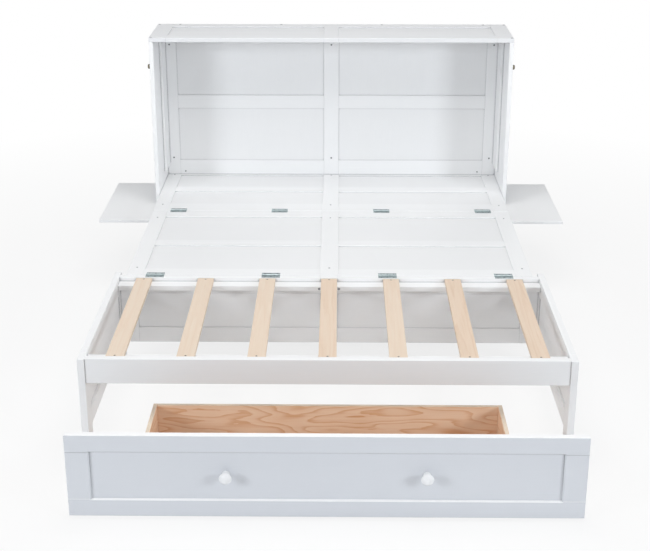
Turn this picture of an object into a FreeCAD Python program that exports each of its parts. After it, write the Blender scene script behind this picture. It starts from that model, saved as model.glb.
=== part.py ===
import FreeCAD, Part
import math
import os

V = FreeCAD.Vector

# Cabinet bed, standing open with its drawer rolled out.
# X runs across the bed, Y from the foot to the head, Z up from the floor.

# Overall sizes of the cabinet and the sleeping deck, in millimetres
deck_height = 390.0
cabinet_height = 1108.0
inner_width = 1560.0
side_thick = 18.0
head_length = 548.0
upper_depth = 324.0
fold_headroom = 13.0
foot_shortfall = 13.0

# Frame members
deck_thick = 25.0
deck_stile = 64.0
deck_centre_stile = 72.0
head_front_rail = 94.0
head_mid_rail = 65.0
head_front_panel = 179.0
head_rear_rail = 30.0
middle_rear_rail = 81.0
middle_rear_panel = 293.0
middle_mid_rail = 59.0
middle_front_rail = 66.0
panel_thick = 9.0
panel_recess = 5.0
groove_depth = 8.0
edge_ease = 1.0

# Upper cabinet
top_thick = 19.0
top_stile = 75.0
top_centre_stile = 64.0
top_rail = 62.0
back_thick = 18.0
back_stile = 61.0
back_centre_stile = 69.0
back_top_rail = 61.0
back_mid_rail = 63.0
back_bottom_rail = 71.0
back_mid_height = 356.0
batten_thick = 12.0
batten_width = 126.0
batten_rise = 55.0

# Base under the head deck
base_back_clear = 40.0
base_rail_height = 70.0
base_rail_thick = 18.0
beam_width = 40.0

# Clearances
hinge_gap = 1.0
fold_gap = 2.0
deck_side_gap = 2.0
slide_gap = 0.3
pin_gap = 0.05

# Butt hinges, let into the top faces
hinge_length = 70.0
hinge_inner_x = 223.0
hinge_edge = 49.0
leaf_thick = 2.0
leaf_reach = 25.0
barrel_radius = 3.5
barrel_room = 4.2
pin_radius = 1.6
axis_rise = 1.0
knuckle_gap = 0.2

# Foot frame
foot_side_thick = 24.0
leg_width = 64.0
leg_behind_hinge = 30.0
foot_top_rail = 64.0
foot_bottom_rail = 61.0
apron_height = 89.0
apron_thick = 24.0
apron_setback = 4.0
rear_board_thick = 27.0
rear_board_stile = 64.0
ledger_width = 45.0
ledger_thick = 20.0
slat_count = 7
slat_width = 60.0
slat_thick = 14.0
slat_margin = 95.0
slat_screw_inset = 10.0
slat_drop = 2.0

# Side shelves
shelf_reach = 225.0
shelf_hidden = 195.0
shelf_thick = 12.0
shelf_drop = 49.0
runner_depth = 30.0
runner_wall = 6.0
runner_under = 18.0

# Bullet catches on the cabinet sides
catch_drop = 130.0
catch_inset = 16.0
plunger_radius = 10.5
plunger_reach = 10.0
plunger_length = 15.5
barrel_length = 16.5
barrel_wall = 3.5
barrel_end = 1.0
strike_radius = 12.0
strike_wall = 3.0

# Drawer
drawer_pull = 309.0
drawer_front_overlap = 10.0
drawer_top_gap = 2.0
drawer_front_thick = 22.0
drawer_floor_gap = 8.0
drawer_rail = 60.0
drawer_stile = 74.0
drawer_panel_recess = 8.0
drawer_bevel = 4.0
box_width = 1180.0
box_depth = 385.0
box_wall = 14.0
box_low = 40.0
box_high = 190.0
bottom_rise = 6.0
bottom_thick = 9.0
knob_spread = 624.0
knob_rise = 5.0
knob_radius = 20.0
knob_length = 34.0
knob_cap = 13.0
knob_foot_radius = 12.0
knob_neck_radius = 8.5
wheel_radius = 20.0
wheel_width = 18.0
wheel_inset_x = 70.0
wheel_inset_y = 55.0
axle_radius = 4.0
bracket_plate = 3.0
bracket_gap = 1.0
bracket_length = 36.0
bracket_drop = 8.0

# Screws
screw_head_radius = 4.0
screw_head_depth = 2.5
screw_radius = 2.0
screw_length = 14.0
screw_margin = 12.0
top_screw_bite = 30.0
top_screw_head_radius = 6.5
top_screw_inner_x = 230.0
top_screw_edge = 24.0

# Worked-out sizes: folded, the rear board passes over the cabinet's top and the apron above the head deck
middle_length = cabinet_height - deck_height + rear_board_thick + fold_headroom
foot_length = middle_length - foot_shortfall

# Worked-out places: the Y origin is midway between the knobs' tips and the cabinet's back
front_reach = middle_length + foot_length + drawer_pull + drawer_front_thick + knob_length
hinge1_y = (front_reach - head_length) / 2
hinge2_y = hinge1_y - middle_length
foot_front_y = hinge2_y - foot_length
back_y = hinge1_y + head_length
upper_front_y = back_y - upper_depth
drawer_rear_y = foot_front_y - drawer_pull
drawer_front_y = drawer_rear_y - drawer_front_thick
half_inner = inner_width / 2
half_outer = half_inner + side_thick
base_half = half_inner - side_thick
foot_half = half_outer + fold_gap
foot_outer = foot_half + foot_side_thick
deck_under = deck_height - deck_thick
axis_z = deck_height + axis_rise
base_rail_low = deck_under - base_rail_height
drawer_front_height = base_rail_low - drawer_top_gap - drawer_floor_gap
drawer_front_width = 2 * (half_outer + drawer_front_overlap)

# The catch sits near the upper cabinet's front edge, and the foot frame's bottom rail meets it when folded
catch_y = upper_front_y + catch_inset
catch_z = cabinet_height - catch_drop
strike_z = axis_z - (catch_y - hinge1_y)
foot_frame_bottom = strike_z - foot_bottom_rail / 2
hinge_outer_x = half_inner - deck_stile - hinge_edge
hinge_xs = [-hinge_outer_x, -hinge_inner_x, hinge_inner_x, hinge_outer_x]

parts = {}


def box(x0, x1, y0, y1, z0, z1):
    return Part.makeBox(x1 - x0, y1 - y0, z1 - z0, V(x0, y0, z0))


def eased(x0, x1, y0, y1, z0, z1):
    """A board with its edges broken."""
    board = box(x0, x1, y0, y1, z0, z1)
    return board.makeChamfer(edge_ease, board.Edges)


def mirrored(shape):
    """The same piece on the other side of the bed."""
    return shape.mirror(V(0, 0, 0), V(1, 0, 0))


def rod(radius, length, start, direction):
    return Part.makeCylinder(radius, length, start, direction)


def keep(name, solids):
    parts[name] = solids


def cut_each(solids, tools):
    """Cut every solid of a group by every tool that reaches it."""
    result = []
    for solid in solids:
        near = [tool for tool in tools if solid.BoundBox.intersect(tool.BoundBox)]
        result.append(solid.cut(near) if near else solid)
    return result


def lying(u0, u1, v0, v1, w0, w1, make):
    return make(u0, u1, v0, v1, w0, w1)


def standing(u0, u1, v0, v1, w0, w1, make):
    return make(u0, u1, w0, w1, v0, v1)


def framed(place, stiles, rails, low, high, depth, panel_depth):
    """Stiles at full length, rails between them, and panels let into their grooves."""
    w0, w1 = depth
    stile_solids = [place(u0, u1, low, high, w0, w1, eased) for u0, u1 in stiles]
    rail_solids = []
    panels = []
    for left, right in zip(stiles, stiles[1:]):
        u0 = left[1]
        u1 = right[0]
        for v0, v1 in rails:
            rail_solids.append(place(u0, u1, v0, v1, w0, w1, eased))
        for lower, upper in zip(rails, rails[1:]):
            panels.append(place(u0 - groove_depth, u1 + groove_depth, lower[1] - groove_depth,
                                upper[0] + groove_depth, panel_depth[0], panel_depth[1], box))
    return cut_each(stile_solids, panels), cut_each(rail_solids, panels), panels


def three_stiles(half, side_width, centre_width):
    return [(-half, -half + side_width), (-centre_width / 2, centre_width / 2), (half - side_width, half)]


def screw(head, direction, length=screw_length, head_radius=screw_head_radius):
    """A countersunk screw with its head flush at the given point."""
    shank_start = head + direction * screw_head_depth
    top = rod(head_radius, screw_head_depth, head, direction)
    return top.fuse(rod(screw_radius, length - screw_head_depth, shank_start, direction))


# Butt hinges: two lines of four, each with three knuckles on one pin

def knuckle_spans(x_mid):
    step = hinge_length / 3
    start = x_mid - hinge_length / 2
    return [(start + i * step + knuckle_gap / 2, start + (i + 1) * step - knuckle_gap / 2) for i in range(3)]


def hinge_leaf(axis_y, x_mid, side, owned):
    """One leaf: a plate let in flush, with the knuckles it owns. side is +1 towards the head."""
    near = axis_y + side * barrel_room
    far = axis_y + side * leaf_reach
    plate = box(x_mid - hinge_length / 2, x_mid + hinge_length / 2, min(near, far), max(near, far),
                deck_height - leaf_thick, deck_height)
    pieces = []
    for index in owned:
        x0, x1 = knuckle_spans(x_mid)[index]
        pieces.append(box(x0, x1, min(axis_y, near), max(axis_y, near), deck_height - leaf_thick, deck_height))
        pieces.append(rod(barrel_radius, x1 - x0, V(x0, axis_y, axis_z), V(1, 0, 0)))
    leaf = plate.fuse(pieces)
    hole = rod(pin_radius + pin_gap, hinge_length, V(x_mid - hinge_length / 2, axis_y, axis_z), V(1, 0, 0))
    return leaf.cut(hole).removeSplitter()


def hinge_pin(axis_y, x_mid):
    return rod(pin_radius, hinge_length, V(x_mid - hinge_length / 2, axis_y, axis_z), V(1, 0, 0))


def hinge_recess(axis_y, x_mid):
    """What one hinge takes out of the boards: two plate beds and room for the knuckles."""
    x0 = x_mid - hinge_length / 2
    x1 = x_mid + hinge_length / 2
    plates = box(x0, x1, axis_y - leaf_reach, axis_y + leaf_reach, deck_height - leaf_thick, deck_height)
    room = box(x0 - slide_gap, x1 + slide_gap, axis_y - barrel_room, axis_y + barrel_room,
               axis_z - barrel_room - axis_rise, deck_height)
    return plates.fuse(room)


for line, axis_y in (("head", hinge1_y), ("foot", hinge2_y)):
    keep(line + "_hinge_rear_leaves", [hinge_leaf(axis_y, x, 1, (0, 2)) for x in hinge_xs])
    keep(line + "_hinge_front_leaves", [hinge_leaf(axis_y, x, -1, (1,)) for x in hinge_xs])
    keep(line + "_hinge_pins", [hinge_pin(axis_y, x) for x in hinge_xs])

hinge_recesses = [hinge_recess(axis_y, x) for axis_y in (hinge1_y, hinge2_y) for x in hinge_xs]

# Head deck, fixed in the cabinet

deck_depth = (deck_under, deck_height)
panel_top = deck_height - panel_recess
deck_panel_depth = (panel_top - panel_thick, panel_top)

head_low = hinge1_y + hinge_gap
head_rails = [(head_low, hinge1_y + head_front_rail)]
mid_start = hinge1_y + head_front_rail + head_front_panel
head_rails.append((mid_start, mid_start + head_mid_rail))
head_rails.append((back_y - head_rear_rail, back_y))
head_stiles = three_stiles(half_inner, deck_stile, deck_centre_stile)
stiles, rails, panels = framed(lying, head_stiles, head_rails, head_low, back_y, deck_depth, deck_panel_depth)

deck_screw_x = half_inner - deck_stile / 2
down = V(0, 0, -1)
head_screw_y = hinge1_y + head_front_rail - screw_margin
cabinet_screws = [screw(V(x, head_screw_y, deck_height), down) for x in (-deck_screw_x, 0, deck_screw_x)]
keep("head_deck_stiles", cut_each(stiles, cabinet_screws))
keep("head_deck_rails", cut_each(rails, hinge_recesses))
keep("head_deck_panels", panels)

# Middle deck, folding up about the head hinges

middle_half = half_inner - deck_side_gap
middle_low = hinge2_y + hinge_gap
middle_high = hinge1_y - hinge_gap
middle_mid_top = hinge1_y - middle_rear_rail - middle_rear_panel
middle_rails = [
    (middle_low, hinge2_y + middle_front_rail),
    (middle_mid_top - middle_mid_rail, middle_mid_top),
    (hinge1_y - middle_rear_rail, middle_high),
]
middle_stiles = three_stiles(middle_half, deck_stile, deck_centre_stile)
stiles, rails, panels = framed(lying, middle_stiles, middle_rails, middle_low, middle_high,
                               deck_depth, deck_panel_depth)
middle_screw_ys = (hinge1_y - middle_rear_rail - screw_margin, hinge2_y + middle_front_rail + screw_margin)
middle_screws = []
for y in middle_screw_ys:
    for x in (-deck_screw_x, 0, deck_screw_x):
        middle_screws.append(screw(V(x, y, deck_height), down))
keep("middle_deck_stiles", cut_each(stiles, middle_screws))
keep("middle_deck_rails", cut_each(rails, hinge_recesses))
keep("middle_deck_panels", panels)
keep("middle_deck_screws", middle_screws)

# Cabinet sides: uprights outside the base's own sides, both slotted for the pull-out shelf

shelf_top = deck_height - shelf_drop
shelf_bottom = shelf_top - shelf_thick
shelf_front_y = head_low + runner_wall + slide_gap
shelf_rear_y = back_y - runner_wall - slide_gap
catch_bore = plunger_radius + pin_gap
catch_outer = catch_bore + barrel_wall

# The top is screwed down into the sides' upper ends and the back's upper edge
top_screw_x = half_outer - side_thick / 2
top_screw_outer_x = half_inner - back_stile - top_screw_edge
top_screw_front_y = upper_front_y + screw_margin
top_screw_rear_y = back_y - back_thick / 2
top_screws = []
for side in (-1, 1):
    for x, y in ((top_screw_x, top_screw_front_y), (top_screw_x, top_screw_rear_y),
                 (top_screw_outer_x, top_screw_rear_y), (top_screw_inner_x, top_screw_rear_y)):
        head = V(side * x, y, cabinet_height)
        top_screws.append(screw(head, down, top_thick + top_screw_bite, top_screw_head_radius))


def shelf_slot(x0, x1):
    return box(x0, x1, shelf_front_y - slide_gap, shelf_rear_y + slide_gap,
               shelf_bottom - slide_gap, shelf_top + slide_gap)


def cabinet_side():
    side = eased(half_inner, half_outer, upper_front_y, back_y, 0, cabinet_height - top_thick)
    catch_hole = rod(catch_outer, barrel_length, V(half_outer - barrel_length, catch_y, catch_z), V(1, 0, 0))
    return side.cut([shelf_slot(half_inner, half_outer), catch_hole])


right_side = cabinet_side()
keep("cabinet_side_right", cut_each([right_side], top_screws))
keep("cabinet_side_left", cut_each([mirrored(right_side)], top_screws))
base_side = eased(base_half, half_inner, head_low, back_y, 0, deck_under).cut(shelf_slot(base_half, half_inner))
keep("base_sides", [base_side, mirrored(base_side)])

# Top of the cabinet

top_low = cabinet_height - top_thick
top_rails = [(upper_front_y, upper_front_y + top_rail), (back_y - top_rail, back_y)]
top_stiles = three_stiles(half_outer, top_stile, top_centre_stile)
top_panel_top = cabinet_height - panel_recess
stiles, rails, panels = framed(lying, top_stiles, top_rails, upper_front_y, back_y, (top_low, cabinet_height),
                               (top_panel_top - panel_thick, top_panel_top))
keep("top_stiles", cut_each(stiles, top_screws))
keep("top_rails", cut_each(rails, top_screws))
keep("top_panels", panels)

# Back of the cabinet

back_front_y = back_y - back_thick
back_rails = [
    (deck_height, deck_height + back_bottom_rail),
    (deck_height + back_mid_height - back_mid_rail / 2, deck_height + back_mid_height + back_mid_rail / 2),
    (top_low - back_top_rail, top_low),
]
back_stiles = three_stiles(half_inner, back_stile, back_centre_stile)
back_panel_front = back_front_y + panel_recess
stiles, rails, panels = framed(standing, back_stiles, back_rails, deck_height, top_low, (back_front_y, back_y),
                               (back_panel_front, back_panel_front + panel_thick))
back_screw_x = half_inner - back_stile / 2
back_screws = []
for x in (-back_screw_x, 0, back_screw_x):
    for z in (top_low - back_top_rail - screw_margin, deck_height + back_bottom_rail + screw_margin):
        back_screws.append(screw(V(x, back_front_y, z), V(0, 1, 0)))
keep("back_stiles", cut_each(stiles, back_screws))
keep("back_rails", cut_each(rails, top_screws))
keep("back_panels", panels)
keep("cabinet_screws", cabinet_screws + back_screws + top_screws)

batten = eased(half_inner - batten_thick, half_inner, back_front_y - batten_width, back_front_y,
               deck_height + batten_rise, top_low)
keep("side_battens", [batten, mirrored(batten)])

# Base under the head deck: the shelf runners stand on its back board and front rail

runner_low = shelf_bottom - runner_under
runner_inner_x = half_outer - shelf_reach - shelf_hidden


def base_board(y0, y1, z0):
    """A board as wide as the base, whose middle rises between the runners to the deck."""
    wide = box(-base_half, base_half, y0, y1, z0, runner_low)
    middle = box(-runner_inner_x, runner_inner_x, y0, y1, runner_low, deck_under)
    return wide.fuse(middle).removeSplitter()


base_rail_rear = head_low + base_rail_thick
keep("base_back", [base_board(back_front_y, back_y, base_back_clear)])
keep("base_front_rail", [base_board(head_low, base_rail_rear, base_rail_low)])


def shelf_runners():
    """Two grooved bars, front and rear, that carry one shelf's ends."""
    front = box(runner_inner_x, base_half, head_low, head_low + runner_depth, runner_low, deck_under)
    rear = box(runner_inner_x, base_half, back_y - runner_depth, back_y, runner_low, deck_under)
    groove = shelf_slot(runner_inner_x, base_half)
    return [front.cut(groove), rear.cut(groove)]


right_runners = shelf_runners()
keep("shelf_runners", right_runners + [mirrored(runner) for runner in right_runners])

beam = eased(-beam_width / 2, beam_width / 2, base_rail_rear, back_front_y, base_rail_low, deck_under)
keep("deck_beam", [beam])

shelf = eased(half_outer - shelf_hidden, half_outer + shelf_reach, shelf_front_y, shelf_rear_y,
              shelf_bottom, shelf_top)
keep("shelf_right", [shelf])
keep("shelf_left", [mirrored(shelf)])

# Bullet catches: a sprung plunger in a dark brass barrel let into each side


def catch_barrel():
    start = V(half_outer - barrel_length, catch_y, catch_z)
    barrel = rod(catch_outer, barrel_length, start, V(1, 0, 0))
    cavity = rod(catch_bore, barrel_length - barrel_end, start + V(barrel_end, 0, 0), V(1, 0, 0))
    return barrel.cut(cavity)


def catch_plunger():
    tip = half_outer + plunger_reach
    body = rod(plunger_radius, plunger_length, V(tip - plunger_length, catch_y, catch_z), V(1, 0, 0))
    rim = [edge for edge in body.Edges if abs(edge.BoundBox.XMin - tip) < 0.01 and edge.BoundBox.YLength > 1]
    return body.makeFillet(plunger_reach / 2, rim)


barrel = catch_barrel()
plunger = catch_plunger()
keep("catch_barrels", [barrel, mirrored(barrel)])
keep("catch_plunger_right", [plunger])
keep("catch_plunger_left", [mirrored(plunger)])

# Foot frame: side frames with legs, apron, rear board, ledgers and slats

leg_front_rear_y = foot_front_y + leg_width
leg_rear_high_y = hinge2_y + leg_behind_hinge
leg_rear_low_y = leg_rear_high_y - leg_width
strike_y = hinge2_y - (axis_z + middle_length - catch_z)
ledger_top = deck_height - slat_drop - slat_thick
ledger_low = ledger_top - ledger_thick


def foot_side():
    """Legs, rails and panel of the right side frame."""
    x0 = foot_half
    x1 = foot_outer
    legs = [
        eased(x0, x1, foot_front_y, leg_front_rear_y, 0, deck_height),
        eased(x0, x1, leg_rear_low_y, leg_rear_high_y, 0, deck_height),
    ]
    bottom_top = foot_frame_bottom + foot_bottom_rail
    rails = [
        eased(x0, x1, leg_front_rear_y, leg_rear_low_y, foot_frame_bottom, bottom_top),
        eased(x0, x1, leg_front_rear_y, leg_rear_low_y, deck_height - foot_top_rail, deck_height),
    ]
    panel_x = x0 + (foot_side_thick - panel_thick) / 2
    panel = box(panel_x, panel_x + panel_thick, leg_front_rear_y - groove_depth, leg_rear_low_y + groove_depth,
                bottom_top - groove_depth, deck_height - foot_top_rail + groove_depth)
    ring_hole = rod(strike_radius + strike_wall, foot_side_thick, V(x0, strike_y, strike_z), V(1, 0, 0))
    return cut_each(legs, [panel]), cut_each(rails, [panel, ring_hole]), panel


def strike_ring():
    start = V(foot_half, strike_y, strike_z)
    ring = rod(strike_radius + strike_wall, foot_side_thick, start, V(1, 0, 0))
    return ring.cut(rod(strike_radius, foot_side_thick, start, V(1, 0, 0)))


legs, rails, panel = foot_side()
keep("foot_legs_right", legs)
keep("foot_legs_left", [mirrored(leg) for leg in legs])
keep("foot_side_rails_right", rails)
keep("foot_side_rails_left", [mirrored(rail) for rail in rails])
keep("foot_side_panel_right", [panel])
keep("foot_side_panel_left", [mirrored(panel)])
ring = strike_ring()
keep("strike_rings", [ring, mirrored(ring)])

apron_front_y = foot_front_y + apron_setback
apron_rear_y = apron_front_y + apron_thick
keep("front_apron", [eased(-foot_half, foot_half, apron_front_y, apron_rear_y,
                           deck_height - apron_height, deck_height)])

rear_board_rear_y = hinge2_y - hinge_gap
rear_board_front_y = hinge2_y - rear_board_thick
rear_rails = [
    (foot_frame_bottom, foot_frame_bottom + foot_bottom_rail),
    (deck_height - foot_top_rail, deck_height),
]
rear_stiles = three_stiles(foot_half, rear_board_stile, rear_board_stile)
rear_panel_front = rear_board_front_y + panel_recess
stiles, rails, panels = framed(standing, rear_stiles, rear_rails, foot_frame_bottom, deck_height,
                               (rear_board_front_y, rear_board_rear_y),
                               (rear_panel_front, rear_panel_front + panel_thick))
keep("rear_board_stiles", stiles)
keep("rear_board_rails", cut_each(rails, hinge_recesses))
keep("rear_board_panels", panels)

front_ledger = eased(-foot_half, foot_half, apron_rear_y, apron_rear_y + ledger_width, ledger_low, ledger_top)
rear_ledger = eased(-foot_half, foot_half, rear_board_front_y - ledger_width, rear_board_front_y,
                    ledger_low, ledger_top)

slat_spacing = 2 * (foot_half - slat_margin) / (slat_count - 1)
slat_xs = [(i - (slat_count - 1) / 2) * slat_spacing for i in range(slat_count)]
slat_top = ledger_top + slat_thick
slat_screw_ys = (apron_rear_y + slat_screw_inset, rear_board_front_y - slat_screw_inset)
foot_screws = [screw(V(x, y, slat_top), down) for x in slat_xs for y in slat_screw_ys]
slats = [eased(x - slat_width / 2, x + slat_width / 2, apron_rear_y, rear_board_front_y, ledger_top, slat_top)
         for x in slat_xs]
keep("slats", cut_each(slats, foot_screws))
keep("slat_ledgers", cut_each([front_ledger, rear_ledger], foot_screws))
keep("foot_screws", foot_screws)

# Drawer: framed front with two knobs, pine box, four wheels

front_half = drawer_front_width / 2
front_low = drawer_floor_gap
front_high = drawer_floor_gap + drawer_front_height
opening_low = front_low + drawer_rail
opening_high = front_high - drawer_rail
opening_half = front_half - drawer_stile


def rectangle(half, low, high, y):
    corners = [V(-half, y, low), V(half, y, low), V(half, y, high), V(-half, y, high), V(-half, y, low)]
    return Part.makePolygon(corners)


def drawer_front():
    """Full-width rails, stiles between them, a bevel round the opening and a sunk panel."""
    rails = [
        eased(-front_half, front_half, drawer_front_y, drawer_rear_y, front_low, opening_low),
        eased(-front_half, front_half, drawer_front_y, drawer_rear_y, opening_high, front_high),
    ]
    stiles = [
        eased(-front_half, -opening_half, drawer_front_y, drawer_rear_y, opening_low, opening_high),
        eased(opening_half, front_half, drawer_front_y, drawer_rear_y, opening_low, opening_high),
    ]
    wide = rectangle(opening_half + drawer_bevel, opening_low - drawer_bevel, opening_high + drawer_bevel,
                     drawer_front_y)
    narrow = rectangle(opening_half, opening_low, opening_high, drawer_front_y + drawer_bevel)
    bevel = Part.makeLoft([wide, narrow], True, True)
    panel_front = drawer_front_y + drawer_panel_recess
    panel = box(-opening_half - groove_depth, opening_half + groove_depth, panel_front, panel_front + panel_thick,
                opening_low - groove_depth, opening_high + groove_depth)
    return cut_each(rails, [bevel, panel]), cut_each(stiles, [bevel, panel]), panel


rails, stiles, panel = drawer_front()
keep("drawer_front_rails", rails)
keep("drawer_front_stiles", stiles)
keep("drawer_front_panel", [panel])


def knob(x):
    """A turned mushroom knob standing on the sunk panel."""
    foot_y = drawer_front_y + drawer_panel_recess
    tip_y = drawer_front_y - knob_length
    rim_y = tip_y + knob_cap
    neck_y = rim_y + knob_cap / 2
    cap_sphere = (knob_radius ** 2 + knob_cap ** 2) / (2 * knob_cap)
    half_angle = math.asin(knob_radius / cap_sphere) / 2
    cap_mid = V(cap_sphere * math.sin(half_angle), tip_y + cap_sphere * (1 - math.cos(half_angle)), 0)
    centre = V(0, foot_y, 0)
    foot = V(knob_foot_radius, foot_y, 0)
    neck = V(knob_neck_radius, neck_y, 0)
    rim = V(knob_radius, rim_y, 0)
    tip = V(0, tip_y, 0)
    neck_mid = V(knob_neck_radius, (foot_y + neck_y) / 2, 0)
    edges = [
        Part.LineSegment(centre, foot).toShape(),
        Part.Arc(foot, neck_mid, neck).toShape(),
        Part.LineSegment(neck, rim).toShape(),
        Part.Arc(rim, cap_mid, tip).toShape(),
        Part.LineSegment(tip, centre).toShape(),
    ]
    turned = Part.Face(Part.Wire(edges)).revolve(V(0, 0, 0), V(0, 1, 0), 360)
    turned.translate(V(x, 0, (front_low + front_high) / 2 + knob_rise))
    return turned


keep("drawer_knobs", [knob(-knob_spread / 2), knob(knob_spread / 2)])

box_half = box_width / 2
box_rear_y = drawer_rear_y + box_depth
bottom_low = box_low + bottom_rise
bottom_board = box(-box_half + box_wall - groove_depth, box_half - box_wall + groove_depth, drawer_rear_y,
                   box_rear_y - box_wall + groove_depth, bottom_low, bottom_low + bottom_thick)
box_side = eased(box_half - box_wall, box_half, drawer_rear_y, box_rear_y, box_low, box_high)
box_back = eased(-box_half + box_wall, box_half - box_wall, box_rear_y - box_wall, box_rear_y, box_low, box_high)
keep("drawer_box_sides", cut_each([box_side, mirrored(box_side)], [bottom_board]))
keep("drawer_box_back", cut_each([box_back], [bottom_board]))
keep("drawer_bottom", [bottom_board])

wheel_x = box_half - wheel_inset_x
wheel_ys = {"front": drawer_rear_y + wheel_inset_y, "rear": box_rear_y - wheel_inset_y}
cheek_inner = wheel_width / 2 + bracket_gap
cheek_outer = cheek_inner + bracket_plate


def wheel(x, y):
    start = V(x - wheel_width / 2, y, wheel_radius)
    tyre = rod(wheel_radius, wheel_width, start, V(1, 0, 0))
    rims = [edge for edge in tyre.Edges if edge.BoundBox.XLength < 0.01]
    tyre = tyre.makeFillet(wheel_width / 8, rims)
    return tyre.cut(rod(axle_radius + pin_gap, wheel_width, start, V(1, 0, 0)))


def axle(x, y):
    return rod(axle_radius, 2 * cheek_outer, V(x - cheek_outer, y, wheel_radius), V(1, 0, 0))


def bracket(x, y):
    """A plate under the drawer bottom with a cheek on each side of the wheel."""
    y0 = y - bracket_length / 2
    y1 = y + bracket_length / 2
    plate = box(x - cheek_outer, x + cheek_outer, y0, y1, bottom_low - bracket_plate, bottom_low)
    cheek_low = wheel_radius - bracket_drop
    left = box(x - cheek_outer, x - cheek_inner, y0, y1, cheek_low, bottom_low)
    right = box(x + cheek_inner, x + cheek_outer, y0, y1, cheek_low, bottom_low)
    return plate.fuse([left, right]).removeSplitter().cut(axle(x, y))


brackets = []
axles = []
for end, y in wheel_ys.items():
    for hand, x in (("left", -wheel_x), ("right", wheel_x)):
        keep("drawer_wheel_" + end + "_" + hand, [wheel(x, y)])
        brackets.append(bracket(x, y))
        axles.append(axle(x, y))
keep("drawer_wheel_brackets", brackets)
keep("drawer_axles", axles)

os.makedirs("parts", exist_ok=True)
for name, solids in parts.items():
    shape = solids[0] if len(solids) == 1 else Part.makeCompound(solids)
    shape.exportStep("parts/" + name + ".step")
    valid = all(solid.isValid() for solid in solids)
    print(name, len(solids), "solids", "valid" if valid else "NOT VALID", round(shape.Volume / 1000), "cm3")
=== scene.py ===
# %% [markdown]
# # A cabinet bed, dressed
#
# The bed's boards, hinges, catches and drawer already exist as a fixed frame of solids. This lesson gives
# them their finishes, adds the small hardware that a close look shows, and lights the bed in a plain studio.
# The frame is loaded first, because every later step reads its places and sizes from it.

# %% Load the frame
import math

import bmesh
import bpy
from mathutils import Matrix, Vector


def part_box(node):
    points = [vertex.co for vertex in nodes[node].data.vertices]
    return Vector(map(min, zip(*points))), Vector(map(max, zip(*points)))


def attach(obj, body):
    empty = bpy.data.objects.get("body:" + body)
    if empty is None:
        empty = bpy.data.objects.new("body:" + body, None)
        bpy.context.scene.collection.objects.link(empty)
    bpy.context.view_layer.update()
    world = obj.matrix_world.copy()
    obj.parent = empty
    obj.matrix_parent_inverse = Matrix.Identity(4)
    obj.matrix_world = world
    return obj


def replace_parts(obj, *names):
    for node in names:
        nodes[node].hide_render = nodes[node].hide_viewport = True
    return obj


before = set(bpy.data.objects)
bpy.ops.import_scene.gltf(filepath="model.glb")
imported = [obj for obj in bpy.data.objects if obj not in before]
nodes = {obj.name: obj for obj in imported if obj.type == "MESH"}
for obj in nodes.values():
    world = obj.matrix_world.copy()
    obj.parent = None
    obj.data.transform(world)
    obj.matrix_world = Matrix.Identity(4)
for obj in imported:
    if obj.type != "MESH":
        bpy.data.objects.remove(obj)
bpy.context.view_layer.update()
scene = bpy.context.scene
print("nodes in the frame:", len(nodes))

# %% [markdown]
# ## Shader sums as plain Python
#
# A finish is mostly arithmetic on positions: stretch them, warp them with noise, fold them into rings.
# Wiring each step by hand hides the idea, so a small class wraps a socket and lets `+`, `-` and `*` add the
# Math nodes. Every other node comes from one method, `node`, which takes the type, its settings and its
# inputs.


# %% A socket that can be used in sums
class Value:
    def __init__(self, recipe, socket):
        self.recipe = recipe
        self.socket = socket

    def sum(self, operation, first, second):
        return self.recipe.node("ShaderNodeMath", {"operation": operation}, {0: first, 1: second})

    def __add__(self, other):
        return self.sum("ADD", self, other)

    __radd__ = __add__

    def __sub__(self, other):
        return self.sum("SUBTRACT", self, other)

    def __rsub__(self, other):
        return self.sum("SUBTRACT", other, self)

    def __mul__(self, other):
        return self.sum("MULTIPLY", self, other)

    __rmul__ = __mul__

    def larger(self, other):
        return self.sum("MAXIMUM", self, other)

    def smaller(self, other):
        return self.sum("MINIMUM", self, other)

    def apply(self, operation):
        return self.recipe.node("ShaderNodeMath", {"operation": operation}, {0: self})


# %% A node tree that is written as a recipe
class Recipe:
    def __init__(self, tree):
        self.tree = tree

    def node(self, kind, settings=None, inputs=None, out=0):
        made = self.tree.nodes.new(kind)
        for key, value in (settings or {}).items():
            if key == "stops":
                self.set_stops(made.color_ramp.elements, value)
            else:
                setattr(made, key, value)
        for key, value in (inputs or {}).items():
            self.feed(made.inputs[key], value)
        return Value(self, made.outputs[out])

    def feed(self, socket, value):
        if isinstance(value, Value):
            self.tree.links.new(value.socket, socket)
        else:
            socket.default_value = value

    def set_stops(self, elements, stops):
        while len(elements) < len(stops):
            elements.new(1.0)
        for element, (place, colour) in zip(elements, stops):
            element.position = place
            element.color = colour

    def split(self, vector):
        parts = self.node("ShaderNodeSeparateXYZ", inputs={0: vector})
        return [Value(self, parts.socket.node.outputs[axis]) for axis in "XYZ"]

    def join(self, x, y, z):
        return self.node("ShaderNodeCombineXYZ", inputs={0: x, 1: y, 2: z})

    def noise(self, vector, scale, detail=3.0, roughness=0.5):
        inputs = {"Vector": vector, "Scale": scale, "Detail": detail, "Roughness": roughness}
        return self.node("ShaderNodeTexNoise", inputs=inputs)

    def mix(self, amount, first, second):
        return self.node("ShaderNodeMix", {"data_type": "RGBA"}, {0: amount, 6: first, 7: second}, out=2)

    def ramp(self, value, stops):
        return self.node("ShaderNodeValToRGB", {"stops": stops}, {0: value})

    def between(self, value, places, levels=(0.0, 1.0)):
        """Goes from the first level to the second as the value goes from the first place to the second."""
        return self.ramp(value, [(place, grey(level)) for place, level in zip(places, levels)])

    def bump(self, height, distance, strength):
        inputs = {"Height": height, "Distance": distance, "Strength": strength}
        return self.node("ShaderNodeBump", inputs=inputs)


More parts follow.
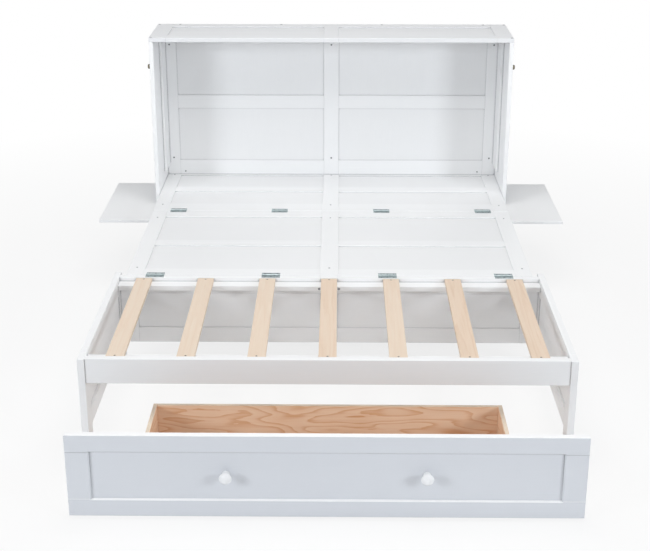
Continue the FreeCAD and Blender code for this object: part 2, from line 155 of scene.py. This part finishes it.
# %% A finish is a recipe for one material
class Finish(Recipe):
    def __init__(self, name):
        self.material = bpy.data.materials.new(name)
        self.material.use_nodes = True
        super().__init__(self.material.node_tree)
        self.shader = self.tree.nodes["Principled BSDF"]

    def surface(self, **sockets):
        for name, value in sockets.items():
            self.feed(self.shader.inputs[name.replace("_", " ")], value)

    def place(self):
        return self.node("ShaderNodeTexCoord", out="Object")

    def facing(self):
        return self.split(self.node("ShaderNodeTexCoord", out="Normal"))

    def along(self, axis, stretch):
        """The place with one axis slowed down, so that what is drawn there runs along that axis."""
        parts = self.split(self.place())
        parts["XYZ".index(axis)] = parts["XYZ".index(axis)] * stretch
        return self.join(*parts)


def grey(level):
    return (level, level, level, 1.0)


def toned(colour, tone):
    return tuple(value * share for value, share in zip(colour, tone)) + (1.0,)


# %% [markdown]
# ## White satin paint over pine
#
# The bed is sprayed white. From a step away it looks even, but near the light the grain underneath still
# shows as faint lines along each board, the spray leaves a fine skin, and no two boards have quite the same
# white. Noise stretched along the board gives all of that with no seams. Where two faces stand close
# together, in joints, recesses and inner corners, an ambient occlusion node finds them, and the paint there
# is darkened: painted shade, with a little dust in the joints. Faces that look up get less of this painted
# shade, and faces that look down get a painted shade of their own.

# %% Colours and texture of the paint
paint_white = (0.872, 0.876, 0.882)
paint_shade = (0.85, 0.855, 0.863)
# Colour of the painted highlight on the drawer's front.
highlight_white = (0.95, 0.95, 0.955, 1.0)
# Colour the paint is darkened towards: painted shade in joints and under faces, and the hairline cracks.
seam_shade = (0.36, 0.365, 0.38, 1.0)
grain_stretch = 0.035
grain_scale = 260.0
skin_scale = 900.0
cloud_scale = 2.2
cloud_share = 0.6
white_range = (0.36, 0.66)
paint_rough = 0.36
skin_rough = 0.16
cloud_rough = 0.06
grain_height = 0.7
skin_height = 0.3
paint_relief = 0.0002
print("paint, grains and skin bumps per metre:", grain_scale, skin_scale)

# %% Painted shade in the joints and under faces, and painted highlights
# A face's lift is 0 where it looks down, 0.5 where it stands and 1 where it looks up.
# Joints, recesses and inner corners, found by ambient occlusion, get a painted shade.
seam_reach = 0.012
seam_samples = 8
seam_range = (0.2, 0.55)
seam_depth = 0.72
# How much stronger the painted joint shade is under the top rail of the drawer's front.
deep_seam = 1.8
# Faces that look up keep only a share of the painted joint shade, as if lit from above.
lit_from_above_lift = (0.6, 0.85)
lit_shade_share = 0.2
# Faces that look down get a painted shade.
underside_shade_lift = (0.1, 0.32)
underside_shade_depth = 0.45
# Faces that look up on the drawer's front get a painted highlight.
highlight_lift = (0.7, 0.85)
hairline = 0.0014
hairline_range = (0.4, 1.0)
hairline_depth = 0.75
print("joints are shaded for", seam_reach, "m")


# %% Satin paint with grain, skin and shaded joints
def white_paint(name, axis, tone, ends=None, shade_rise=None):
    """Paint with its grain along one axis.

    The board's two ends, if given, have a hairline crack. Where two heights are given, the painted shade in
    the joints grows from none at the first to strong at the second, and faces that look up get a painted
    highlight.
    """
    finish = Finish(name)
    place = dict(zip("XYZ", finish.split(finish.place())))
    lift = finish.facing()[2] * 0.5 + 0.5
    grain = finish.noise(finish.along(axis, grain_stretch), grain_scale, 4.0, 0.6)
    skin = finish.noise(finish.place(), skin_scale, 2.0)
    cloud = finish.noise(finish.place(), cloud_scale, 3.0)
    even = finish.between(cloud * cloud_share + grain * (1.0 - cloud_share), white_range)
    colour = finish.mix(even, toned(paint_shade, tone), toned(paint_white, tone))
    # Painted shade where faces stand close together: joints, recesses and inner corners.
    open_sky = finish.node("ShaderNodeAmbientOcclusion", {"samples": seam_samples}, {"Distance": seam_reach},
                           out="AO")
    # Less of that painted shade on faces that look up.
    lit_from_above = finish.between(lift, lit_from_above_lift, (1.0, lit_shade_share))
    seam = finish.between(1.0 - open_sky, seam_range, (0.0, seam_depth)) * lit_from_above
    if shade_rise:
        # Painted joint shade that grows with height on the drawer's front.
        height = (place["Z"] - shade_rise[0]) * (1.0 / (shade_rise[1] - shade_rise[0]))
        seam = seam * finish.between(height, (0.0, 1.0)) * deep_seam
        # Painted highlight on faces that look up.
        colour = finish.mix(finish.between(lift, highlight_lift), colour, highlight_white)
    # Painted shade on faces that look down.
    seam = seam.larger(finish.between(lift, underside_shade_lift, (underside_shade_depth, 0.0)))
    if ends:
        gap = (place[axis] - ends[0]).smaller(ends[1] - place[axis]) * (1.0 / hairline)
        seam = seam.larger(finish.between(gap, hairline_range, (hairline_depth, 0.0)))
    # The painted shade and the hairline cracks darken the colour towards seam_shade.
    finish.surface(Base_Color=finish.mix(seam, colour, seam_shade),
                   Roughness=paint_rough + skin_rough * skin + cloud_rough * cloud,
                   Normal=finish.bump(grain * grain_height + skin * skin_height, paint_relief, 0.5),
                   IOR=1.46)
    return finish.material


# %% [markdown]
# The grain runs along the board, so there is one paint for each direction of board. Thin panels take less
# paint and are a touch greyer than the frames round them. The cabinet's top has a painted shade that makes it
# a little duller, and the drawer's front a painted shade that makes it duller and cooler. On the drawer's
# front the painted joint shade grows with height, so the lower joint stays light, and faces that look up get
# a painted highlight.

# %% One paint for each direction and batch
frame_tone = (1.0, 1.0, 1.0)
panel_tone = (0.965, 0.965, 0.965)
# Painted shade: the cabinet's top a little darker, the drawer's front darker and cooler.
top_shade_tone = (0.85, 0.855, 0.868)
front_shade_tone = (0.795, 0.81, 0.845)
# Heights on the drawer's front where the painted joint shade grows from none to strong.
front_shade_rise = (0.09, 0.2)
stile_ends = [corner.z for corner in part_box("drawer_front_stiles")]

frame_paint = {axis: white_paint("frame_paint_" + axis.lower(), axis, frame_tone) for axis in "XYZ"}
panel_paint = {axis: white_paint("panel_paint_" + axis.lower(), axis, panel_tone) for axis in "XZ"}
top_paint = {axis: white_paint("top_paint_" + axis.lower(), axis, top_shade_tone) for axis in "XY"}
front_paint = white_paint("drawer_front_paint", "X", front_shade_tone, shade_rise=front_shade_rise)
front_stile_paint = white_paint("drawer_stile_paint", "Z", front_shade_tone, stile_ends)
print("paints:", sorted(material.name for material in bpy.data.materials if "paint" in material.name))

# %% [markdown]
# ## Bare wood
#
# The slats and the drawer box are unpainted. The box is plywood whose face was peeled off a turning log, so
# its yearly rings show as loops and islands, like the height lines of a map. That is also how to draw them:
# take a smooth noise as the height, cut it into steps, and give every step a slow rise and a sharp dark
# edge. Slats are cut from straighter wood, so the same map is stretched far along them and kept faint.
# Streaks and fibres are finer noises that run along the board in the same way.

# %% Noise that runs along the wood
streak_stretch = (5.0, 130.0)
fibre_stretch = (7.0, 430.0)


def stretched(finish, axes, stretch, detail, roughness=0.5):
    """Noise over (along, across, depth), with the first stretch along the wood and the second across it."""
    along, across, depth = axes
    place = finish.join(along * stretch[0], across * stretch[1], depth * stretch[1])
    return finish.noise(place, 1.0, detail, roughness)


def streaks(finish, axes):
    return stretched(finish, axes, streak_stretch, 3.0, 0.55)


def fibres(finish, axes):
    return stretched(finish, axes, fibre_stretch, 3.0, 0.6)


# %% Height lines of a smooth noise, as wood figure
ripple_stretch = (14.0, 90.0)
ripple_share = 0.45
ring_stops = [(0.0, grey(0.5)), (0.1, grey(0.05)), (0.6, grey(0.3)), (0.92, grey(1.0))]


def figure(finish, axes, stretch, steps):
    """0 to 1 within each yearly ring: the map is stretched by (along, across) and has so many steps."""
    height = stretched(finish, axes, stretch, 1.6)
    ripple = stretched(finish, axes, ripple_stretch, 2.0)
    return finish.ramp((height * steps + ripple * ripple_share).apply("FRACT"), ring_stops)


# %% What a bare board is made of
fibre_rough = 0.14
ring_sink = 0.4
wood_relief = 0.0002


def blend(shares, values):
    """The values added up, each times its share."""
    total = values[0] * shares[0]
    for share, value in zip(shares[1:], values[1:]):
        total = total + value * share
    return total


def bare_surface(finish, colour, rough, ring, fibre, relief_strength):
    finish.surface(Base_Color=colour, Roughness=rough + fibre_rough * fibre,
                   Normal=finish.bump(fibre - ring * ring_sink, wood_relief, relief_strength))


# %% Slats: pale, straight and faint, each a little different
slat_pitch = 0.235
slat_pale = (0.775, 0.662, 0.545, 1.0)
slat_middle = (0.74, 0.588, 0.46, 1.0)
slat_dark = (0.664, 0.482, 0.344, 1.0)
slat_stretch = (0.9, 17.0)
slat_steps = 7.0
slat_shift = 11.0
slat_shares = (0.16, 0.4, 0.26, 0.28)
slat_paler = 0.1


def slat_wood():
    finish = Finish("slat_wood")
    x, y, z = finish.split(finish.place())
    slat = (x * (1.0 / slat_pitch) + 0.5).apply("FLOOR")
    chance = finish.node("ShaderNodeTexWhiteNoise", {"noise_dimensions": "1D"}, {"W": slat})
    own_axes = (y + chance * slat_shift, x - slat * slat_pitch + chance, z)
    ring = figure(finish, own_axes, slat_stretch, slat_steps)
    fibre = fibres(finish, (y, x, z))
    tone = blend(slat_shares, (ring, streaks(finish, (y, x, z)), fibre, chance)) - slat_paler
    colour = finish.ramp(tone, [(0.1, slat_pale), (0.5, slat_middle), (0.85, slat_dark)])
    bare_surface(finish, colour, 0.46, ring, fibre, 0.5)
    return finish.material


slat_finish = slat_wood()

# %% Drawer box: warm plywood with looping figure and pale cut edges
box_pale = (0.88, 0.68, 0.52, 1.0)
box_middle = (0.82, 0.575, 0.405, 1.0)
box_dark = (0.66, 0.35, 0.17, 1.0)
box_stretch = (2.5, 12.0)
box_steps = 12.0
box_shares = (0.42, 0.36, 0.14, 0.4)
box_paler = 0.2
box_cloud_scale = 5.0
edge_pale = (0.82, 0.72, 0.60, 1.0)
edge_line = (0.66, 0.52, 0.38, 1.0)
plies_per_metre = 270.0
ply_range = (0.55, 0.7)
cut_range = (0.75, 0.9)


def box_wood(name, length, across, depth, plies):
    """Plywood with its figure along one axis. Where plies is set, faces that look up are cut edges."""
    finish = Finish(name)
    place = dict(zip("XYZ", finish.split(finish.place())))
    axes = (place[length], place[across], place[depth])
    ring = figure(finish, axes, box_stretch, box_steps)
    fibre = fibres(finish, axes)
    cloud = finish.noise(finish.place(), box_cloud_scale, 2.0)
    tone = blend(box_shares, (ring, streaks(finish, axes), fibre, cloud)) - box_paler
    colour = finish.ramp(tone, [(0.12, box_pale), (0.42, box_middle), (0.85, box_dark)])
    if plies:
        ply = finish.between((place[depth] * plies_per_metre).apply("FRACT"), ply_range)
        cut = finish.between(finish.facing()[2], cut_range)
        colour = finish.mix(cut, colour, finish.mix(ply, edge_pale, edge_line))
    bare_surface(finish, colour, 0.4, ring, fibre, 0.4)
    return finish.material


box_back_wood = box_wood("box_back_wood", "X", "Z", "Y", True)
box_side_wood = box_wood("box_side_wood", "Y", "Z", "X", True)
box_bottom_wood = box_wood("box_bottom_wood", "X", "Y", "Z", False)
print("woods:", slat_finish.name, box_back_wood.name, box_side_wood.name, box_bottom_wood.name)

# %% [markdown]
# ## Metals and wheel plastic
#
# Hinges are zinc plated: a cool grey with a fine rolled texture and duller patches. Screws are darker. The
# bullet catches are brass that has been darkened and rubs bright again where it is touched. The wheels are
# moulded plastic with a dusty bloom. One recipe serves all four, because each is a base colour with patches.

# %% Zinc, dark screws, antique brass and plastic
rolled_stretch = 0.08
rolled_rough = 0.18
rolled_relief = 0.00008
patch_scale = 0.12
patch_range = (0.35, 0.65)


def patchy(name, bright, dull, scale, rough, metallic):
    finish = Finish(name)
    rolled = finish.noise(finish.along("X", rolled_stretch), scale, 3.0, 0.6)
    patch = finish.noise(finish.place(), scale * patch_scale, 2.0)
    finish.surface(Base_Color=finish.mix(finish.between(patch, patch_range), dull, bright),
                   Roughness=rough + rolled_rough * rolled,
                   Metallic=metallic,
                   Normal=finish.bump(rolled, rolled_relief, 0.5))
    return finish.material


zinc = patchy("zinc_plate", (0.44, 0.50, 0.51, 1.0), (0.30, 0.35, 0.36, 1.0), 900.0, 0.3, 1.0)
screw_metal = patchy("screw_metal", (0.22, 0.23, 0.24, 1.0), (0.13, 0.135, 0.145, 1.0), 1500.0, 0.36, 1.0)
dark_brass = patchy("dark_brass", (0.20, 0.175, 0.12, 1.0), (0.10, 0.09, 0.065, 1.0), 700.0, 0.26, 1.0)
wheel_plastic = patchy("wheel_plastic", (0.085, 0.085, 0.09, 1.0), (0.05, 0.05, 0.055, 1.0), 400.0, 0.45, 0.0)
print("metals and plastic:", zinc.name, screw_metal.name, dark_brass.name, wheel_plastic.name)

# %% [markdown]
# ## Which finish goes where
#
# A board's paint follows its grain, which runs along its length. Rails run across the bed, so they take the X
# paint. Deck stiles run from head to foot, and uprights stand.

# %% Give every node its finish
wheels = [name for name in nodes if name.startswith("drawer_wheel_") and "brackets" not in name]
finish_nodes = [
    (frame_paint["X"], ["back_rails", "base_back", "base_front_rail", "shelf_runners",
                        "head_deck_rails", "middle_deck_rails", "front_apron", "rear_board_rails",
                        "rear_board_panels", "slat_ledgers", "drawer_knobs"]),
    (frame_paint["Y"], ["head_deck_stiles", "middle_deck_stiles", "base_sides", "deck_beam",
                        "foot_side_rails_left", "foot_side_rails_right", "foot_side_panel_left",
                        "foot_side_panel_right", "shelf_left", "shelf_right"]),
    (frame_paint["Z"], ["cabinet_side_left", "cabinet_side_right", "side_battens", "back_stiles",
                        "foot_legs_left", "foot_legs_right", "rear_board_stiles"]),
    (top_paint["X"], ["top_rails", "top_panels"]),
    (top_paint["Y"], ["top_stiles"]),
    (front_paint, ["drawer_front_rails", "drawer_front_panel"]),
    (front_stile_paint, ["drawer_front_stiles"]),
    (panel_paint["X"], ["head_deck_panels", "middle_deck_panels"]),
    (panel_paint["Z"], ["back_panels"]),
    (slat_finish, ["slats"]),
    (box_back_wood, ["drawer_box_back"]),
    (box_side_wood, ["drawer_box_sides"]),
    (box_bottom_wood, ["drawer_bottom"]),
    (zinc, ["head_hinge_rear_leaves", "head_hinge_front_leaves", "head_hinge_pins", "foot_hinge_rear_leaves",
            "foot_hinge_front_leaves", "foot_hinge_pins", "drawer_wheel_brackets", "drawer_axles"]),
    (screw_metal, ["cabinet_screws", "middle_deck_screws", "foot_screws"]),
    (dark_brass, ["catch_barrels", "catch_plunger_left", "catch_plunger_right", "strike_rings"]),
    (wheel_plastic, wheels),
]
dressed = set()
for material, names in finish_nodes:
    for name in names:
        nodes[name].data.materials.clear()
        nodes[name].data.materials.append(material)
        dressed.add(name)
print("nodes without a finish:", sorted(set(nodes) - dressed))

# %% [markdown]
# ## Reading places from the frame
#
# Small hardware has to sit exactly on what carries it. A node may hold several solids, such as four hinge
# leaves, so a helper welds a copy of the node's mesh and returns the box of each solid in it.

# %% The box of each solid in a node
weld_distance = 0.00001


def solid_boxes(name):
    mesh = bmesh.new()
    mesh.from_mesh(nodes[name].data)
    bmesh.ops.remove_doubles(mesh, verts=mesh.verts, dist=weld_distance)
    left = set(mesh.verts)
    boxes = []
    while left:
        island = [left.pop()]
        for vert in island:
            for edge in vert.link_edges:
                other = edge.other_vert(vert)
                if other in left:
                    left.remove(other)
                    island.append(other)
        points = [vert.co.copy() for vert in island]
        low = Vector([min(point[axis] for point in points) for axis in range(3)])
        high = Vector([max(point[axis] for point in points) for axis in range(3)])
        boxes.append((low, high))
    mesh.free()
    return sorted(boxes, key=lambda pair: tuple(round(value, 4) for value in pair[0]))


print("hinge leaves found:", len(solid_boxes("head_hinge_rear_leaves")))

# %% [markdown]
# ## Screw heads
#
# A plain disc reads as a dot of paint. A real head is slightly domed and has a cross pressed into it, which
# goes dark in the middle. The head is drawn point by point: a ring of rim points, a cross outline, the face
# filled between them, and the cross pushed down. Each head has a turn of its own, because a screw stops where
# it is tight. The turns follow from the places, so that they are the same in every run.

# %% The cross in a screw head
rim_points = 28
cross_arm = 0.55
cross_width = 0.16
cross_depth = 0.42
cross_taper = 0.8
dome_rise = 0.22
up = Vector((0, 0, 1))
to_foot = Vector((0, -1, 0))


def cross_outline(radius):
    long = radius * cross_arm
    half = radius * cross_width
    points = []
    for turn in range(4):
        spin = Matrix.Rotation(-turn * math.pi / 2, 3, "Z")
        points += [spin @ Vector((x, y, 0.0)) for x, y in ((half, long), (half, half), (long, half))]
    return points


# %% One screw head
def add_head(mesh, radius, place):
    """Adds a head to the mesh, with its face towards the place's +Z and its rim at the place's origin."""
    rise = radius * dome_rise

    def domed(point):
        level = rise * (1.0 - (point.xy.length / radius) ** 2)
        return mesh.verts.new(place @ Vector((point.x, point.y, level)))

    angles = [2 * math.pi * step / rim_points for step in range(rim_points)]
    rim = [domed(Vector((radius * math.cos(angle), radius * math.sin(angle), 0.0))) for angle in angles]
    cross = [domed(point) for point in cross_outline(radius)]
    sunk = Vector((0, 0, radius * cross_depth))
    pit = [mesh.verts.new(place @ (point * cross_taper - sunk)) for point in cross_outline(radius)]
    edges = []
    for ring in (rim, cross):
        edges += [mesh.edges.new((ring[i - 1], ring[i])) for i in range(len(ring))]
    bmesh.ops.triangle_fill(mesh, use_beauty=True, edges=edges)
    for i in range(len(cross)):
        mesh.faces.new((cross[i - 1], cross[i], pit[i], pit[i - 1]))
    mesh.faces.new(pit)


# %% A group of screw heads as one piece
def screw_heads(name, places, body):
    """One piece holding a head at each place: (point, the way it faces, its turn in degrees, its radius)."""
    mesh = bmesh.new()
    for point, facing, turn, radius in places:
        aim = facing.to_track_quat("Z", "Y").to_matrix().to_4x4()
        add_head(mesh, radius, Matrix.Translation(point) @ aim @ Matrix.Rotation(math.radians(turn), 4, "Z"))
    bmesh.ops.recalc_face_normals(mesh, faces=mesh.faces)
    data = bpy.data.meshes.new(name)
    mesh.to_mesh(data)
    mesh.free()
    data.materials.append(screw_metal)
    piece = bpy.data.objects.new(name, data)
    scene.collection.objects.link(piece)
    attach(piece, body)
    print(name, "heads:", len(places))
    return piece


# %% [markdown]
# ## Hinge screws
#
# Each hinge leaf is held by three screws in a zigzag. Their places come from the leaf's own box: a share of
# its length, and a distance from its far edge.

# %% Three screws on every hinge leaf
hinge_screw_radius = 0.0032
hinge_screw_turn = 17.0
turn_per_screw = 31.0
turn_per_metre = 400.0
leaf_body = {
    "head_hinge_rear_leaves": ("cabinet", 1),
    "head_hinge_front_leaves": ("middle_deck", -1),
    "foot_hinge_rear_leaves": ("middle_deck", 1),
    "foot_hinge_front_leaves": ("foot_frame", -1),
}
zigzag = ((0.16, 0.0075), (0.5, 0.0125), (0.84, 0.0075))
deck_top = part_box("middle_deck_stiles")[1].z

for name, (body, side) in leaf_body.items():
    places = []
    for low, high in solid_boxes(name):
        far = high.y if side > 0 else low.y
        for step, (share, reach) in enumerate(zigzag):
            x = low.x + (high.x - low.x) * share
            point = Vector((x, far - side * reach, deck_top))
            turn = hinge_screw_turn + turn_per_screw * step + turn_per_metre * x
            places.append((point, up, turn, hinge_screw_radius))
    screw_heads(name.replace("leaves", "screws"), places, body)

# %% [markdown]
# ## Board screws
#
# The boards' own screws are solids with plain flat ends. Each gets a head of the same size, set flush in the
# same hole. The plain solids stay for the motion and are hidden in the picture.

# %% Detailed heads in place of the plain screws
board_screw_turn = 23.0
board_turn_across = 700.0
board_turn_along = 300.0
screw_bodies = {"cabinet_screws": "cabinet", "middle_deck_screws": "middle_deck", "foot_screws": "foot_frame"}

for name, body in screw_bodies.items():
    places = []
    for low, high in solid_boxes(name):
        centre = (low + high) / 2
        stands = high.z - low.z > high.y - low.y
        facing = up if stands else to_foot
        point = Vector((centre.x, centre.y, high.z)) if stands else Vector((centre.x, low.y, centre.z))
        radius = (high.x - low.x) / 2
        sink = facing * radius * dome_rise
        turn = board_screw_turn + board_turn_across * centre.x + board_turn_along * centre.y
        places.append((point - sink, facing, turn, radius))
    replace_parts(screw_heads(name.replace("screws", "screw_heads"), places, body), name)

# %% [markdown]
# ## Screws at the back of the head deck
#
# Two screws hold the back's lowest rail to the deck frame, near its ends, and one more sits at the rear end
# of each deck stile. They are small and close to the corner, where their dark heads show against the paint.

# %% Heads along the rear corner of the deck
corner_screw_radius = 0.0036
rail_screw_x = 0.696
rail_screw_rise = 0.016
rail_turn_across = 60.0
stile_screw_inset = 0.009
stile_screw_turn = 35.0
stile_turn_across = 90.0
back_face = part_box("back_rails")[0].y
corner_places = []
for x in (-rail_screw_x, rail_screw_x):
    point = Vector((x, back_face, deck_top + rail_screw_rise))
    corner_places.append((point, to_foot, rail_turn_across * x, corner_screw_radius))
for low, high in solid_boxes("head_deck_stiles"):
    x = (low.x + high.x) / 2
    point = Vector((x, back_face - stile_screw_inset, deck_top))
    corner_places.append((point, up, stile_screw_turn + stile_turn_across * x, corner_screw_radius))
screw_heads("deck_corner_screws", corner_places, "cabinet")

# %% [markdown]
# ## Ledger bolts
#
# The ledger that carries the slats' rear ends is bolted through to the board behind it. Two bolt heads show
# on its face, one each side of the middle slat.

# %% Bolts beside the middle slat
bolt_radius = 0.0048
bolt_spread = 0.037
bolt_turn = 40.0
bolt_turn_across = 900.0
rear_ledger = max(solid_boxes("slat_ledgers"), key=lambda pair: pair[1].y)
bolt_z = (rear_ledger[0].z + rear_ledger[1].z) / 2
bolts = [(Vector((x, rear_ledger[0].y, bolt_z)), to_foot, bolt_turn + bolt_turn_across * x, bolt_radius)
         for x in (-bolt_spread, bolt_spread)]
screw_heads("ledger_bolts", bolts, "foot_frame")

# %% [markdown]
# ## Studio
#
# A pale floor that runs out to white, a white surround, a soft lamp overhead and two low lamps to the left
# and right, so that each knob throws two soft shadows. A fourth lamp lights the cabinet's back. The surround
# is white to the camera and in reflections, and dimmer as a light, so that white paint keeps its shading.
# Near the bed the floor takes its shadow, and further out it glows into the surround.

# %% Floor
floor_half = 30.0
floor_mesh = bpy.data.meshes.new("studio_floor")
floor_corners = [(-floor_half, -floor_half, 0), (floor_half, -floor_half, 0), (floor_half, floor_half, 0),
                 (-floor_half, floor_half, 0)]
floor_mesh.from_pydata(floor_corners, [], [(0, 1, 2, 3)])
floor = bpy.data.objects.new("studio_floor", floor_mesh)
scene.collection.objects.link(floor)
print("floor, metres across:", 2 * floor_half)


# %% Floor finish
def seen_directly(recipe):
    """1 for what the camera sees, straight on or in a reflection or through glass."""
    rays = [recipe.node("ShaderNodeLightPath", out=kind + " Ray")
            for kind in ("Is Camera", "Is Glossy", "Is Transmission")]
    return rays[0].larger(rays[1]).larger(rays[2])


floor_seen = 0.86
floor_bounce = 0.95
shadow_share = 0.2
fade_per_metre = 0.2
fade_range = (0.3, 0.75)
floor_finish = Finish("studio_floor")
seen = seen_directly(floor_finish)
distance = floor_finish.node("ShaderNodeVectorMath", {"operation": "LENGTH"}, {0: floor_finish.place()},
                             out="Value")
fade = floor_finish.between(distance * fade_per_metre, fade_range, (1.0 - shadow_share, 1.0))
floor_finish.surface(Base_Color=floor_finish.mix(seen, grey(floor_bounce), grey(floor_seen)), Roughness=0.9)
glow = floor_finish.node("ShaderNodeEmission", inputs={"Color": grey(1.0), "Strength": 1.0})
lit = Value(floor_finish, floor_finish.shader.outputs[0])
floor_mix = floor_finish.node("ShaderNodeMixShader", inputs={0: fade * seen, 1: lit, 2: glow})
floor_finish.feed(floor_finish.tree.nodes["Material Output"].inputs["Surface"], floor_mix)
floor_mesh.materials.append(floor_finish.material)
print("the floor's shadow fades out", fade_range[1] / fade_per_metre, "m from the middle")

# %% Surround
surround_light = 0.25
surround_colour = (0.95, 0.975, 1.0, 1.0)
world = bpy.data.worlds.new("studio_surround")
scene.world = world
world.use_nodes = True
surround = Recipe(world.node_tree)
dim = surround.node("ShaderNodeBackground", inputs={"Color": surround_colour, "Strength": surround_light})
white = surround.node("ShaderNodeBackground", inputs={"Color": grey(1.0), "Strength": 1.0})
backdrop = surround.node("ShaderNodeMixShader", inputs={0: seen_directly(surround), 1: dim, 2: white})
surround.feed(world.node_tree.nodes["World Output"].inputs["Surface"], backdrop)
print("surround, as a light:", surround_light)


# %% Lamps
def soft_lamp(name, place, target, size, power, colour):
    data = bpy.data.lights.new(name, "AREA")
    data.shape = "RECTANGLE"
    data.size, data.size_y = size
    data.energy = power
    data.color = colour
    lamp = bpy.data.objects.new(name, data)
    lamp.location = place
    lamp.rotation_euler = (Vector(target) - Vector(place)).to_track_quat("-Z", "Y").to_euler()
    lamp.visible_camera = False
    scene.collection.objects.link(lamp)
    return lamp


bed_middle = (0.0, 0.0, 0.4)
back_middle = (0.0, 0.0, 0.7)
for hand, x in (("left", -4.6), ("right", 4.6)):
    soft_lamp(hand + "_lamp", (x, -4.0, 2.2), bed_middle, (1.4, 1.4), 120.0, (0.92, 0.96, 1.0))
soft_lamp("overhead_lamp", (0.0, -0.55, 3.55), bed_middle, (2.8, 2.4), 77.0, (1.0, 0.99, 0.975))
rear_lamp = soft_lamp("rear_lamp", (0.0, 5.4, 1.1), back_middle, (3.2, 1.6), 66.0, (0.96, 0.98, 1.0))
rear_lamp.visible_glossy = False
print("lamps:", sorted(lamp.name for lamp in bpy.data.lights))

# %% [markdown]
# ## Camera
#
# The bed is seen from its foot, a little above head height and from some way off, looking down so that the
# deck, the slats and the drawer's inside all show. The values were fitted to the bed's corners in the
# picture.

# %% Camera at the picture's angle
frame_width_px = 650
focal_px = 1262.2
camera_place = (0.0324, -4.5802, 2.2014)
camera_pitch = 20.531
camera_yaw = -0.617
camera_shift = -0.05
sensor_mm = 36.0
camera_data = bpy.data.cameras.new("camera")
camera_data.sensor_width = sensor_mm
camera_data.lens = focal_px / frame_width_px * sensor_mm
camera_data.shift_y = camera_shift
camera = bpy.data.objects.new("camera", camera_data)
camera.location = camera_place
camera.rotation_euler = (math.radians(90.0 - camera_pitch), 0.0, math.radians(-camera_yaw))
scene.collection.objects.link(camera)
scene.camera = camera
scene.view_settings.view_transform = "Standard"
print("lens, mm:", round(camera_data.lens, 1))
